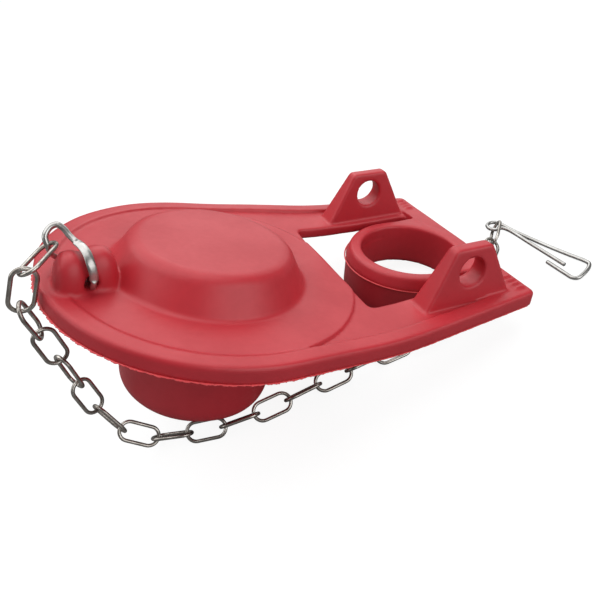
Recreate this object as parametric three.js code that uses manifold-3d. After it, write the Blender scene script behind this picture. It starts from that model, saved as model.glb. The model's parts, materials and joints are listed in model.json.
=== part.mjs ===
// Toilet flapper with its lug ring, lift chain and snap clip, as they lie at rest on a flat surface.
// Millimetres, +Z up, +X from the nose toward the tail, -Y toward the side where the chain is laid.
//
// The moulding is drawn flat. There z = 0 is the plate's upper face inside the rim, and the origin is
// on the axis of the dome. The tail half is then bent up about the roots of the arms, and the whole
// moulding is tipped until the ball's foot and the collar's foot both touch the surface.
import * as THREE from 'three';
import { mergeVertices } from 'three/addons/utils/BufferGeometryUtils.js';
import Module from 'manifold-3d';

const wasm = await Module();
wasm.setup();

// Plate
const PLATE_THICKNESS = 3.3;
const RIM_HEIGHT = 1.0;
const RIM_WIDTH = 4.6;
const NOSE_X = 1.2;
const NOSE_RADIUS = 42.2;
const TAIL_X = 81.8;
const TAIL_HALF_WIDTH = 32.8;
const TAIL_CORNER = 4.0;
const CHANNEL_END_X = 75.4;
const CHANNEL_CORNER = 3.0;
const DISC_RADIUS = 38.0;
const DISC_HEIGHT = 0.4;
const CREASE_X = 36.3;
const WINDOW_FRONT_X = 35.8;
const CREASE_ANGLE = 10;
const SLOT_END_X = 75.4;
const SLOT_CORNER = 2.0;
const SLOT_SIDE_X = 56.0;
const WINDOW_FRONT_HALF = 22.5;
const WINDOW_SIDE_HALF = 21.5;
const BRIDGE_HALF = 17.0;

// Dome and ball
const DOME_BASE_RADIUS = 25.1;
const DOME_TOP_RADIUS = 19.7;
const DOME_HEIGHT = 9.0;
const DOME_ROUNDING = 2.0;
const BALL_TOP_RADIUS = 23.0;
const BALL_FOOT_RADIUS = 20.0;
const BALL_DEPTH = 32.0;
const BALL_ROUNDING = 5.0;
const BALL_WALL = 2.5;
const BALL_MOUTH_RADIUS = 11;

// Collar
const COLLAR_X = 62.6;
const COLLAR_BORE_RADIUS = 14.3;
const COLLAR_TOP_RADIUS = 17.6;
const COLLAR_STEP_RADIUS = 19.0;
const COLLAR_STEP_DROP = 3.6;
const COLLAR_LOWER_RADIUS = 18.6;
const COLLAR_DEPTH = 12.7;
const COLLAR_CHAMFER = 0.5;

// Ears, with their foot on the plate's upper face
const EAR_FOOT_FRONT_X = 47.9;
const EAR_FOOT_REAR_X = 75.3;
const EAR_TOP_FRONT_X = 56.1;
const EAR_TOP_REAR_X = 67.6;
const EAR_HEIGHT = 15.4;
const EAR_TOP_ROUNDING = 1.6;
const EAR_INNER_FOOT_Y = 23.0;
const EAR_INNER_TOP_Y = 24.2;
const EAR_OUTER_FOOT_Y = 29.8;
const EAR_OUTER_TOP_Y = 27.7;
const EAR_HOLE_X = 61.6;
const EAR_HOLE_Z = 8.8;
const EAR_HOLE_RADIUS = 4.04;

// Lug on the nose: two rounded lobes side by side, with a hole across for the ring
const LUG_FRONT = { x: -34.4, y: -6.0, halfX: 4.0, halfY: 5.0, height: 8.8 };
const LUG_REAR = { x: -28.2, y: -4.2, halfX: 4.6, halfY: 4.6, height: 9.2 };
const LUG_ROUNDING = 0.55;
const LUG_HOLE_X = -30.0;
const LUG_HOLE_Z = 2.6;
const LUG_HOLE_RADIUS = 1.6;

// Lug ring: a wire loop that widens into a flat band over the lug
const RING_WIRE_RADIUS = 0.65;
const RING_BAND_HALF_WIDTH = 1.2;
const RING_BAND_HALF_THICKNESS = 0.4;

// Chain
const LINK_WIRE_RADIUS = 0.5;
const LINK_END_RADIUS = 2.55;
const LINK_PITCH = 9.4;
const LINK_CLEARANCE = 0.3;
const FLOOR_LINK_ROLL = 45;

// Snap clip
const CLIP_WIRE_RADIUS = 0.5;

// Where the dome's axis meets the plate, along X, in the frame of the chain's way
const DOME_AXIS_X = -0.3;

// Steps of the round forms
const ARC_STEPS = 16;
const LATHE_STEPS = 48;
const HOLE_STEPS = 24;

// Room that a cutting solid reaches past what it cuts
const PAST = 1.0;
const FAR = 200;

const X_AXIS = new THREE.Vector3(1, 0, 0);
const Y_AXIS = new THREE.Vector3(0, 1, 0);
const Z_AXIS = new THREE.Vector3(0, 0, 1);

// Joining and cutting

// Shares the corners that lie together, and drops the triangles that this leaves without an area
function weld(geometry) {
  geometry.deleteAttribute('normal');
  geometry.deleteAttribute('uv');
  const welded = mergeVertices(geometry, 1e-4);
  const corners = welded.index.array;
  const kept = [];
  for (let i = 0; i < corners.length; i += 3) {
    const [a, b, c] = corners.slice(i, i + 3);
    if (a !== b && b !== c && c !== a) kept.push(a, b, c);
  }
  welded.setIndex(kept);
  return welded;
}

function solidOf(geometry) {
  const welded = weld(geometry.clone());
  const mesh = new wasm.Mesh({
    numProp: 3,
    vertProperties: new Float32Array(welded.attributes.position.array),
    triVerts: new Uint32Array(welded.index.array),
  });
  return new wasm.Manifold(mesh);
}

function geometryOf(solid) {
  const mesh = solid.getMesh();
  const geometry = new THREE.BufferGeometry();
  geometry.setAttribute('position', new THREE.BufferAttribute(new Float32Array(mesh.vertProperties), 3));
  geometry.setIndex(new THREE.BufferAttribute(new Uint32Array(mesh.triVerts), 1));
  return geometry;
}

// A prism over an outline in plan, from bottom to top
function prism(shape, bottom, top) {
  const geometry = new THREE.ExtrudeGeometry(shape, {
    depth: top - bottom,
    bevelEnabled: false,
    curveSegments: ARC_STEPS,
  });
  geometry.translate(0, 0, bottom);
  return solidOf(geometry);
}

// A solid of revolution about a vertical axis at x, from [radius, z] points, lowest first
function turned(points, x = 0, steps = LATHE_STEPS) {
  const geometry = new THREE.LatheGeometry(points.map(([r, z]) => new THREE.Vector2(r, z)), steps);
  geometry.rotateX(Math.PI / 2);
  geometry.translate(x, 0, 0);
  return solidOf(geometry);
}

// The [radius, z] points of a round edge about (radius, z), between two angles in degrees
function roundEdge(radius, z, rounding, from, to, steps = 4) {
  return Array.from({ length: steps + 1 }, (_, i) => {
    const angle = THREE.MathUtils.degToRad(from + (to - from) * i / steps);
    return [radius + rounding * Math.cos(angle), z + rounding * Math.sin(angle)];
  });
}

// Plate

// The taper of the plate's straight sides, tangent to the nose's circle
const SIDE_TAPER = Math.asin(NOSE_RADIUS / Math.hypot(TAIL_X - NOSE_X, TAIL_HALF_WIDTH))
  - Math.atan2(TAIL_HALF_WIDTH, TAIL_X - NOSE_X);

// The half-width of the plate's outline at x, set in by inset
function sideY(x, inset = 0) {
  return TAIL_HALF_WIDTH + (TAIL_X - x) * Math.tan(SIDE_TAPER) - inset / Math.cos(SIDE_TAPER);
}

// The plate's outline set in by inset, cut off straight at rearX with rounded corners
function plateOutline(inset, rearX, corner) {
  const radius = NOSE_RADIUS - inset;
  const side = Math.PI / 2 - SIDE_TAPER;
  const rearY = sideY(rearX, inset);
  const along = [corner * Math.cos(SIDE_TAPER), corner * Math.sin(SIDE_TAPER)];
  const shape = new THREE.Shape();
  shape.moveTo(rearX, corner - rearY);
  shape.lineTo(rearX, rearY - corner);
  shape.quadraticCurveTo(rearX, rearY, rearX - along[0], rearY + along[1]);
  shape.absarc(NOSE_X, 0, radius, side, 2 * Math.PI - side, false);
  shape.lineTo(rearX - along[0], -rearY - along[1]);
  shape.quadraticCurveTo(rearX, -rearY, rearX, corner - rearY);
  return shape;
}

// The window between the arms, with its slots on both sides of the collar
function windowOutline(frontX) {
  const rear = WINDOW_SIDE_HALF;
  const shape = new THREE.Shape();
  shape.moveTo(frontX, -WINDOW_FRONT_HALF);
  shape.lineTo(SLOT_SIDE_X, -rear);
  shape.lineTo(SLOT_END_X - SLOT_CORNER, -rear);
  shape.quadraticCurveTo(SLOT_END_X, -rear, SLOT_END_X, SLOT_CORNER - rear);
  shape.lineTo(SLOT_END_X, rear - SLOT_CORNER);
  shape.quadraticCurveTo(SLOT_END_X, rear, SLOT_END_X - SLOT_CORNER, rear);
  shape.lineTo(SLOT_SIDE_X, rear);
  shape.lineTo(frontX, WINDOW_FRONT_HALF);
  shape.closePath();
  return shape;
}

function plate() {
  const whole = prism(plateOutline(0, TAIL_X, TAIL_CORNER), -PLATE_THICKNESS, RIM_HEIGHT);
  const recess = prism(plateOutline(RIM_WIDTH, CHANNEL_END_X, CHANNEL_CORNER), 0, RIM_HEIGHT + PAST);
  const opening = prism(windowOutline(WINDOW_FRONT_X - PAST), -PLATE_THICKNESS - PAST, RIM_HEIGHT + PAST);
  const disc = turned([[0, -PAST], [DISC_RADIUS, -PAST], [DISC_RADIUS, DISC_HEIGHT], [0, DISC_HEIGHT]]);
  const frontOfWindow = boxSolid(WINDOW_FRONT_X - FAR, WINDOW_FRONT_X, FAR, FAR);
  const window = opening.subtract(frontOfWindow);
  return whole.subtract(recess).add(disc.intersect(frontOfWindow)).subtract(window);
}

// A box between two x, centred on y = 0 and z = 0
function boxSolid(x0, x1, width, height) {
  const geometry = new THREE.BoxGeometry(x1 - x0, width, height);
  geometry.translate((x0 + x1) / 2, 0, 0);
  return solidOf(geometry);
}

// Dome above the plate and hollow ball below it, as one turned form

const BALL_FOOT_Z = -PLATE_THICKNESS - BALL_DEPTH;

function bulb() {
  return turned([
    [0, BALL_FOOT_Z],
    ...roundEdge(BALL_FOOT_RADIUS - BALL_ROUNDING, BALL_FOOT_Z + BALL_ROUNDING, BALL_ROUNDING, -90, 0, 6),
    [BALL_TOP_RADIUS, -PLATE_THICKNESS],
    [DOME_BASE_RADIUS, -PLATE_THICKNESS],
    [DOME_BASE_RADIUS, 0],
    ...roundEdge(DOME_TOP_RADIUS - DOME_ROUNDING, DOME_HEIGHT - DOME_ROUNDING, DOME_ROUNDING, 20, 90),
    [0, DOME_HEIGHT],
  ]);
}

function bulbHollow() {
  return turned([
    [0, BALL_FOOT_Z - PAST],
    [BALL_MOUTH_RADIUS, BALL_FOOT_Z - PAST],
    [BALL_MOUTH_RADIUS, BALL_FOOT_Z + BALL_WALL],
    ...roundEdge(BALL_FOOT_RADIUS - BALL_ROUNDING, BALL_FOOT_Z + BALL_ROUNDING, BALL_ROUNDING - BALL_WALL, -90, 0),
    [BALL_TOP_RADIUS - BALL_WALL, -PLATE_THICKNESS],
    [DOME_TOP_RADIUS - BALL_WALL, DOME_HEIGHT - BALL_WALL],
    [0, DOME_HEIGHT - BALL_WALL],
  ]);
}

// Collar, joined to the tail bar by a bridge

function collar() {
  const top = RIM_HEIGHT;
  const foot = top - COLLAR_DEPTH;
  const step = top - COLLAR_STEP_DROP;
  const wall = turned([
    [0, foot],
    [COLLAR_LOWER_RADIUS, foot],
    [COLLAR_LOWER_RADIUS, step],
    [COLLAR_STEP_RADIUS, step],
    [COLLAR_TOP_RADIUS, top - COLLAR_CHAMFER],
    [COLLAR_TOP_RADIUS - COLLAR_CHAMFER, top],
    [0, top],
  ], COLLAR_X);
  const shape = new THREE.Shape();
  shape.moveTo(COLLAR_X, -BRIDGE_HALF);
  shape.lineTo(SLOT_END_X + PAST, -BRIDGE_HALF);
  shape.lineTo(SLOT_END_X + PAST, BRIDGE_HALF);
  shape.lineTo(COLLAR_X, BRIDGE_HALF);
  shape.closePath();
  return wall.add(prism(shape, -PLATE_THICKNESS, top));
}

function collarBore() {
  const top = RIM_HEIGHT + PAST;
  const foot = RIM_HEIGHT - COLLAR_DEPTH - PAST;
  return turned([[0, foot], [COLLAR_BORE_RADIUS, foot], [COLLAR_BORE_RADIUS, top], [0, top]], COLLAR_X);
}

// Ears

// The ear as seen from the side, with its hole; its foot reaches into the plate
function earSide() {
  const slopeFront = (EAR_TOP_FRONT_X - EAR_FOOT_FRONT_X) / EAR_HEIGHT;
  const slopeRear = (EAR_FOOT_REAR_X - EAR_TOP_REAR_X) / EAR_HEIGHT;
  const round = EAR_TOP_ROUNDING;
  const shape = new THREE.Shape();
  shape.moveTo(EAR_FOOT_FRONT_X - slopeFront * PAST, -PAST);
  shape.lineTo(EAR_TOP_FRONT_X - slopeFront * round, EAR_HEIGHT - round);
  shape.quadraticCurveTo(EAR_TOP_FRONT_X, EAR_HEIGHT, EAR_TOP_FRONT_X + round, EAR_HEIGHT);
  shape.lineTo(EAR_TOP_REAR_X - round, EAR_HEIGHT);
  shape.quadraticCurveTo(EAR_TOP_REAR_X, EAR_HEIGHT, EAR_TOP_REAR_X + slopeRear * round, EAR_HEIGHT - round);
  shape.lineTo(EAR_FOOT_REAR_X + slopeRear * PAST, -PAST);
  shape.closePath();
  const hole = new THREE.Path();
  hole.absarc(EAR_HOLE_X, EAR_HOLE_Z, EAR_HOLE_RADIUS, 0, 2 * Math.PI, false);
  shape.holes.push(hole);
  return shape;
}

// The ear as seen from the tail: its faces draw together toward the top
function earSection(side) {
  const innerDraft = (EAR_INNER_TOP_Y - EAR_INNER_FOOT_Y) / EAR_HEIGHT;
  const outerDraft = (EAR_OUTER_FOOT_Y - EAR_OUTER_TOP_Y) / EAR_HEIGHT;
  const shape = new THREE.Shape();
  shape.moveTo(side * (EAR_INNER_FOOT_Y - innerDraft * PAST), -PAST);
  shape.lineTo(side * (EAR_OUTER_FOOT_Y + outerDraft * PAST), -PAST);
  shape.lineTo(side * (EAR_OUTER_TOP_Y - outerDraft * PAST), EAR_HEIGHT + PAST);
  shape.lineTo(side * (EAR_INNER_TOP_Y + innerDraft * PAST), EAR_HEIGHT + PAST);
  shape.closePath();
  return shape;
}

function ear(side) {
  const across = new THREE.ExtrudeGeometry(earSide(), {
    depth: 2 * EAR_OUTER_FOOT_Y,
    bevelEnabled: false,
    curveSegments: HOLE_STEPS / 2,
  });
  across.translate(0, 0, -EAR_OUTER_FOOT_Y - side * EAR_OUTER_FOOT_Y);
  across.applyMatrix4(new THREE.Matrix4().makeBasis(X_AXIS, Z_AXIS, Y_AXIS.clone().negate()));
  const along = new THREE.ExtrudeGeometry(earSection(side), { depth: TAIL_X, bevelEnabled: false });
  along.applyMatrix4(new THREE.Matrix4().makeBasis(Y_AXIS, Z_AXIS, X_AXIS));
  return solidOf(across).intersect(solidOf(along));
}

// Lug

// A lobe with steep sides and a rounded top, wider across than along
function lugLobe({ x, y, halfX, halfY, height }) {
  const points = [[0, -PAST], [1, -PAST], [1, height * (1 - LUG_ROUNDING)]];
  for (let i = 1; i <= 6; i += 1) {
    const angle = (Math.PI / 2) * i / 6;
    points.push([Math.cos(angle) ** 0.7, height * (1 - LUG_ROUNDING + LUG_ROUNDING * Math.sin(angle))]);
  }
  points[points.length - 1][0] = 0;
  const geometry = new THREE.LatheGeometry(points.map(([r, z]) => new THREE.Vector2(r, z)), HOLE_STEPS);
  geometry.rotateX(Math.PI / 2);
  geometry.scale(halfX, halfY, 1);
  geometry.translate(x, y, 0);
  return solidOf(geometry);
}

function lug() {
  const hole = new THREE.CylinderGeometry(LUG_HOLE_RADIUS, LUG_HOLE_RADIUS, NOSE_RADIUS, 12);
  hole.translate(LUG_HOLE_X, 0, LUG_HOLE_Z);
  return lugLobe(LUG_FRONT).add(lugLobe(LUG_REAR)).subtract(solidOf(hole));
}

// The whole moulding: cut at the crease along a mitre, its tail half turned up, and joined again
function moulding() {
  const flat = plate()
    .add(bulb())
    .subtract(bulbHollow())
    .add(collar())
    .subtract(collarBore())
    .add(ear(-1))
    .add(ear(1))
    .add(lug());
  const overlap = 0.02;
  const angle = THREE.MathUtils.degToRad(CREASE_ANGLE);
  const halfSpace = (from, to, turn) => {
    const geometry = new THREE.BoxGeometry(to - from, FAR, FAR);
    geometry.translate((from + to) / 2, 0, 0);
    geometry.rotateY(turn);
    geometry.translate(CREASE_X, 0, 0);
    return solidOf(geometry);
  };
  const nose = flat.intersect(halfSpace(-FAR, overlap, angle / 2));
  const tail = geometryOf(flat.intersect(halfSpace(0, FAR, -angle / 2 + angle)));
  tail.translate(-CREASE_X, 0, 0);
  tail.rotateY(-angle);
  tail.translate(CREASE_X, 0, 0);
  return geometryOf(nose.add(solidOf(tail)));
}

// The angle that brings a solid to rest: its lowest pair of feet either side of its middle
function restAngle(geometry) {
  const position = geometry.attributes.position;
  const points = Array.from({ length: position.count }, (_, i) => [position.getX(i), position.getZ(i)]);
  points.sort((a, b) => a[0] - b[0] || a[1] - b[1]);
  const hull = [];
  for (const p of points) {
    const turnsUp = () => {
      const [a, b] = hull.slice(-2);
      return (b[0] - a[0]) * (p[1] - a[1]) - (b[1] - a[1]) * (p[0] - a[0]) > 0;
    };
    while (hull.length > 1 && !turnsUp()) hull.pop();
    hull.push(p);
  }
  const betweenFeet = (BALL_FOOT_RADIUS + COLLAR_X - COLLAR_LOWER_RADIUS) / 2;
  const k = hull.findIndex((p) => p[0] > betweenFeet);
  const [a, b] = [hull[k - 1], hull[k]];
  return Math.atan2(b[1] - a[1], b[0] - a[0]);
}

// A closed wire along a loop: size gives the section's two half-widths at each share of the loop, and
// the first of them lies along the facing direction where the share is facingAt
function closedWire(curve, steps, sides, size, facing, facingAt) {
  const frames = curve.computeFrenetFrames(steps, true);
  const k = Math.round(facingAt * steps);
  const turn = Math.atan2(facing.dot(frames.binormals[k]), facing.dot(frames.normals[k]));
  const positions = [];
  const index = [];
  for (let i = 0; i < steps; i += 1) {
    const centre = curve.getPointAt(i / steps);
    const [wide, thick] = size(i / steps);
    const a = frames.normals[i].clone().multiplyScalar(Math.cos(turn))
      .addScaledVector(frames.binormals[i], Math.sin(turn));
    const b = frames.tangents[i].clone().cross(a);
    for (let j = 0; j < sides; j += 1) {
      const around = 2 * Math.PI * (j + 0.5) / sides;
      const p = centre.clone()
        .addScaledVector(a, wide * Math.cos(around))
        .addScaledVector(b, thick * Math.sin(around));
      positions.push(p.x, p.y, p.z);
      const [here, next] = [i * sides, ((i + 1) % steps) * sides];
      const beside = (j + 1) % sides;
      index.push(here + j, next + j, next + beside, here + j, next + beside, here + beside);
    }
  }
  const geometry = new THREE.BufferGeometry();
  geometry.setAttribute('position', new THREE.Float32BufferAttribute(positions, 3));
  geometry.setIndex(index);
  if (solidOf(geometry).volume() < 0) geometry.index.array.reverse();
  return geometry;
}

// Lug ring, in the moulding's flat frame: over the lug, round the loop, and back through the hole

const RING_PATH = [
  [LUG_HOLE_X, -10.2, LUG_HOLE_Z],
  [-29.9, -10.5, 5.4],
  [-30.5, -9.9, 8.0],
  [-31.1, -8.1, 9.7],
  [-31.9, -6.0, 10.4],
  [-32.8, -4.0, 10.5],
  [-33.9, -2.5, 11.2],
  [-35.0, -1.2, 12.3],
  [-36.2, -0.6, 12.9],
  [-37.6, -0.7, 12.3],
  [-38.7, -1.7, 10.6],
  [-38.1, -2.3, 8.4],
  [-37.6, -1.0, 6.6],
  [-36.8, 1.2, 4.6],
  [-35.6, 2.9, 3.1],
  [-33.0, 3.6, 2.5],
  [-30.7, 2.6, LUG_HOLE_Z],
  [LUG_HOLE_X, 0.0, LUG_HOLE_Z],
  [LUG_HOLE_X, -5.0, LUG_HOLE_Z],
];
const RING_CURVE = new THREE.CatmullRomCurve3(
  RING_PATH.map((p) => new THREE.Vector3(...p)),
  true,
  'centripetal',
);
const RING_HANG_POINT = new THREE.Vector3(...RING_PATH[11]);
const BAND_FROM = 0.03;
const BAND_TO = 0.25;
const BAND_MIDDLE = 0.16;

function ringSize(share) {
  const inBand = share > BAND_FROM && share < BAND_TO;
  return inBand ? [RING_BAND_HALF_WIDTH, RING_BAND_HALF_THICKNESS] : [RING_WIRE_RADIUS, RING_WIRE_RADIUS];
}

// Chain

// An oval in its own plane, its long axis along X
class OvalCurve extends THREE.Curve {
  constructor(length, radius) {
    super();
    this.straight = length / 2 - radius;
    this.radius = radius;
  }

  getPoint(t, target = new THREE.Vector3()) {
    const arc = Math.PI * this.radius / 2;
    const round = 4 * arc + 4 * this.straight;
    const mirror = t > 0.5 ? -1 : 1;
    const s = (t > 0.5 ? 1 - t : t) * round;
    const flat = 2 * this.straight;
    const onFirst = Math.min(s, arc) / this.radius;
    if (s <= arc) {
      return target.set(this.straight + this.radius * Math.cos(onFirst), mirror * this.radius * Math.sin(onFirst), 0);
    }
    if (s <= arc + flat) return target.set(this.straight - (s - arc), mirror * this.radius, 0);
    const onLast = (s - arc - flat) / this.radius;
    return target.set(-this.straight - this.radius * Math.sin(onLast), mirror * this.radius * Math.cos(onLast), 0);
  }
}

const LINK_INNER_LENGTH = LINK_PITCH + LINK_CLEARANCE;
const LINK_CURVE = new OvalCurve(LINK_INNER_LENGTH + 2 * LINK_WIRE_RADIUS, LINK_END_RADIUS);
const LINK_STEPS = 16;
const LINK_SIDES = 6;

function linkGeometry() {
  const size = () => [LINK_WIRE_RADIUS, LINK_WIRE_RADIUS];
  return closedWire(LINK_CURVE, LINK_STEPS, LINK_SIDES, size, Z_AXIS, 0);
}

// The height of a rolled link's middle when its lower side touches the surface
const FLOOR_LINK_Z = LINK_END_RADIUS * Math.sin(THREE.MathUtils.degToRad(FLOOR_LINK_ROLL)) + LINK_WIRE_RADIUS;

// The chain's way from the ring over the nose, straight down, and along the surface under the near arm
const CHAIN_WAY = [
  [-36.9, -8.7, 62.8],
  [-41.9, -8.0, 54.8],
  [-41.5, -5.8, 46.3],
  [-41.2, -5.3, 37.1],
  [-41.0, -4.9, 27.9],
  [-40.5, -5.0, 18.7],
  [-38.4, -7.6, 10.4],
  [-33.6, -8.8, FLOOR_LINK_Z + 0.4],
  [-25.6, -12.0, FLOOR_LINK_Z],
  [-17.5, -15.8, FLOOR_LINK_Z],
  [-8.3, -18.0, FLOOR_LINK_Z],
  [1.0, -18.6, FLOOR_LINK_Z],
  [19.2, -18.8, FLOOR_LINK_Z],
  [38.2, -19.8, FLOOR_LINK_Z],
  [56.8, -21.6, FLOOR_LINK_Z],
  [66.4, -20.4, FLOOR_LINK_Z],
  [74.4, -14.6, FLOOR_LINK_Z],
  [80.4, -7.4, FLOOR_LINK_Z],
  [84.6, -2.2, FLOOR_LINK_Z],
  [92.2, 2.6, FLOOR_LINK_Z + 0.4],
  [98.8, 9.8, FLOOR_LINK_Z + 0.5],
];

// How far the first links are turned about their own length; the rest alternate on the surface
const HANGING_ROLLS = [10, 0, -80, -10, 60, -30, 60, -30, -40];
const END_ROLLS = [-45, 45, -60];

// The joints of the chain: one pitch apart, each on the way between two of its points
function chainJoints(start) {
  const joints = [start.clone()];
  const way = [start.clone(), ...CHAIN_WAY.map((p) => new THREE.Vector3(...p))];
  let segment = 0;
  while (segment < way.length - 1) {
    const here = joints[joints.length - 1];
    let found = null;
    for (; segment < way.length - 1 && !found; segment += 1) {
      const [a, b] = [way[segment], way[segment + 1]];
      if (b.distanceTo(here) < LINK_PITCH) continue;
      let [low, high] = [0, 1];
      if (a.distanceTo(here) >= LINK_PITCH) high = 0;
      for (let i = 0; i < 40; i += 1) {
        const middle = (low + high) / 2;
        if (a.clone().lerp(b, middle).distanceTo(here) < LINK_PITCH) low = middle;
        else high = middle;
      }
      found = a.clone().lerp(b, high);
      segment -= 1;
    }
    if (found) joints.push(found);
  }
  return joints;
}

// The wires that meet at a joint lie either side of it, along the mean of the two links' directions
function jointDirections(joints) {
  const along = joints.slice(1).map((to, i) => to.clone().sub(joints[i]).normalize());
  return joints.map((_, i) => {
    const before = along[Math.max(i - 1, 0)];
    const after = along[Math.min(i, along.length - 1)];
    return before.clone().add(after).normalize();
  });
}

// A link's place: its long axis between its two end wires, and its plane rolled about that axis
function linkMatrix(joints, directions, i, roll) {
  const reach = LINK_WIRE_RADIUS + LINK_CLEARANCE / 2;
  const from = joints[i].clone().addScaledVector(directions[i], -reach);
  const to = joints[i + 1].clone().addScaledVector(directions[i + 1], reach);
  const along = to.clone().sub(from).normalize();
  const steep = Math.abs(along.z) > 0.6;
  const reference = steep ? Y_AXIS.clone().negate() : Z_AXIS.clone();
  const normal = reference.addScaledVector(along, -reference.dot(along)).normalize();
  normal.applyAxisAngle(along, THREE.MathUtils.degToRad(roll));
  const matrix = new THREE.Matrix4().makeBasis(along, normal.clone().cross(along), normal);
  return matrix.setPosition(from.add(to).multiplyScalar(0.5));
}

// Snap clip: spring arm, eye, long arm, end bend and short return arm, from the chain's last joint
const CLIP_WAY = [
  [2.8, -27.8, 1.9],
  [2.6, -14.0, 2.0],
  [2.3, -3.0, 2.1],
  [1.4, -0.9, 2.1],
  [-0.3, -0.4, 2.0],
  [-1.4, 1.6, 1.9],
  [-0.7, 3.8, 1.7],
  [1.4, 4.7, 1.4],
  [3.4, 3.5, 1.1],
  [4.0, 0.9, 0.9],
  [4.5, -3.0, 0.7],
  [6.9, -16.6, 0.6],
  [8.5, -24.0, 0.6],
  [9.7, -29.0, 0.6],
  [9.7, -30.6, 0.6],
  [8.4, -31.9, 0.6],
  [4.8, -33.3, 0.6],
  [2.3, -33.6, 0.6],
  [1.3, -32.5, 0.6],
  [1.2, -30.0, 0.6],
  [1.2, -22.4, 0.6],
];
// How far the eye's wire lies back from the joint, inside the last link
const CLIP_BACK = 0.7;
const CLIP_STEPS = 72;

// The clip's wire, a round section along its way
function clipGeometry() {
  const section = new THREE.Shape();
  section.absarc(0, 0, CLIP_WIRE_RADIUS, 0, 2 * Math.PI, false);
  return new THREE.ExtrudeGeometry(section, {
    steps: CLIP_STEPS,
    curveSegments: 4,
    extrudePath: new THREE.CatmullRomCurve3(CLIP_WAY.map((p) => new THREE.Vector3(...p)), false, 'centripetal'),
  });
}

// Materials

const rubber = () => new THREE.MeshStandardMaterial({ color: 0xc2303a, roughness: 0.42, metalness: 0 });
const brightSteel = () => new THREE.MeshStandardMaterial({ color: 0xc6c7c4, roughness: 0.25, metalness: 1 });
const chainSteel = () => new THREE.MeshStandardMaterial({ color: 0x8f8a82, roughness: 0.35, metalness: 1 });

function named(name, geometry, material) {
  const mesh = new THREE.Mesh(weld(geometry), material);
  mesh.name = name;
  return mesh;
}

// Assembly: the moulding tipped onto its two feet, then the chain from the ring to the clip

const body = moulding();
const tipped = new THREE.Group();
tipped.add(named('flapper_body', body, rubber()));
tipped.add(named('lug_ring', closedWire(RING_CURVE, 76, 8, ringSize, X_AXIS, BAND_MIDDLE), brightSteel()));
tipped.rotation.y = restAngle(body);
tipped.position.x = DOME_AXIS_X;
tipped.updateMatrixWorld(true);
tipped.position.z = -new THREE.Box3().setFromObject(tipped.children[0], true).min.z;
tipped.updateMatrixWorld(true);

const resting = new THREE.Group();
resting.add(tipped);

const hangPoint = RING_HANG_POINT.clone().applyMatrix4(tipped.matrixWorld);
const firstWay = new THREE.Vector3(...CHAIN_WAY[0]).sub(hangPoint).normalize();
const chainStart = hangPoint.clone().addScaledVector(firstWay, -RING_WIRE_RADIUS - LINK_CLEARANCE / 2);
const joints = chainJoints(chainStart);
const link = linkGeometry();
const directions = jointDirections(joints);
joints.slice(1).forEach((_, i) => {
  const onFloor = i % 2 ? FLOOR_LINK_ROLL : -FLOOR_LINK_ROLL;
  const fromEnd = i - (joints.length - 1 - END_ROLLS.length);
  const roll = HANGING_ROLLS[i] ?? END_ROLLS[fromEnd] ?? onFloor;
  const mesh = named(`chain_link_${String(i + 1).padStart(2, '0')}`, link.clone(), chainSteel());
  mesh.applyMatrix4(linkMatrix(joints, directions, i, roll));
  resting.add(mesh);
});

const lastJoint = joints[joints.length - 1];
const clip = named('snap_clip', clipGeometry(), brightSteel());
clip.position.set(lastJoint.x - CLIP_BACK, lastJoint.y - CLIP_BACK, 0);
resting.add(clip);

// The origin is under the middle of the whole, on the surface
const flapper = new THREE.Group();
flapper.name = 'toilet_flapper';
flapper.add(resting);
flapper.updateMatrixWorld(true);
const bounds = new THREE.Box3().setFromObject(flapper, true);
const middle = bounds.getCenter(new THREE.Vector3());
resting.position.set(-middle.x, -middle.y, -bounds.min.z);
flapper.updateMatrixWorld(true);

export default flapper;
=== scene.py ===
"""A toilet flapper at rest: red rubber moulding, lug ring, lift chain and snap clip."""

import json
import logging
import math
from dataclasses import dataclass, field
from enum import Enum
from typing import NamedTuple

import bmesh
import bpy
import numpy as np
from mathutils import Matrix, Vector


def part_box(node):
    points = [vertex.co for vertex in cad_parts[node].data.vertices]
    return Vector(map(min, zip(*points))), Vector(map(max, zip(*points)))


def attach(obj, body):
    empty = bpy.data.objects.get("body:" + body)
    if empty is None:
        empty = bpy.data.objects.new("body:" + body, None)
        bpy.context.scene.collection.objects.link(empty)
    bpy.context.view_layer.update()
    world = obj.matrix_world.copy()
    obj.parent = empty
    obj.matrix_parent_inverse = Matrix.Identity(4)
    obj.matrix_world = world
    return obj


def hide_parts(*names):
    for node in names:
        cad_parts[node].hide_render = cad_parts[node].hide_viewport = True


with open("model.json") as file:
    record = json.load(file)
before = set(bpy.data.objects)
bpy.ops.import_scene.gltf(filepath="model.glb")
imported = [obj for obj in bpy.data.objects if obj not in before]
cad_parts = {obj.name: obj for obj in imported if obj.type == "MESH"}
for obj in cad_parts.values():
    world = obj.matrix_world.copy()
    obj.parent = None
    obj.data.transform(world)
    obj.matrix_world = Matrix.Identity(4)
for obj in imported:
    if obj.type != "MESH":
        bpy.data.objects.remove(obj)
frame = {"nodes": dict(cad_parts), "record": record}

LOG = logging.getLogger("flapper")
MM = 0.001
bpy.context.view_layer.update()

Array = np.ndarray
Pair = tuple[float, float]
Triple = tuple[float, float, float]

Tree, Node, Object = bpy.types.NodeTree, bpy.types.Node, bpy.types.Object

# Roundings and fillets, in mm
HAIR, BURIED, FINE, CRISP, EASY, SOFT, FULL = 0.2, 0.3, 0.4, 0.5, 0.6, 0.8, 1.0

# Shapes: smooth joins of fields that are negative inside the material


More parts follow.
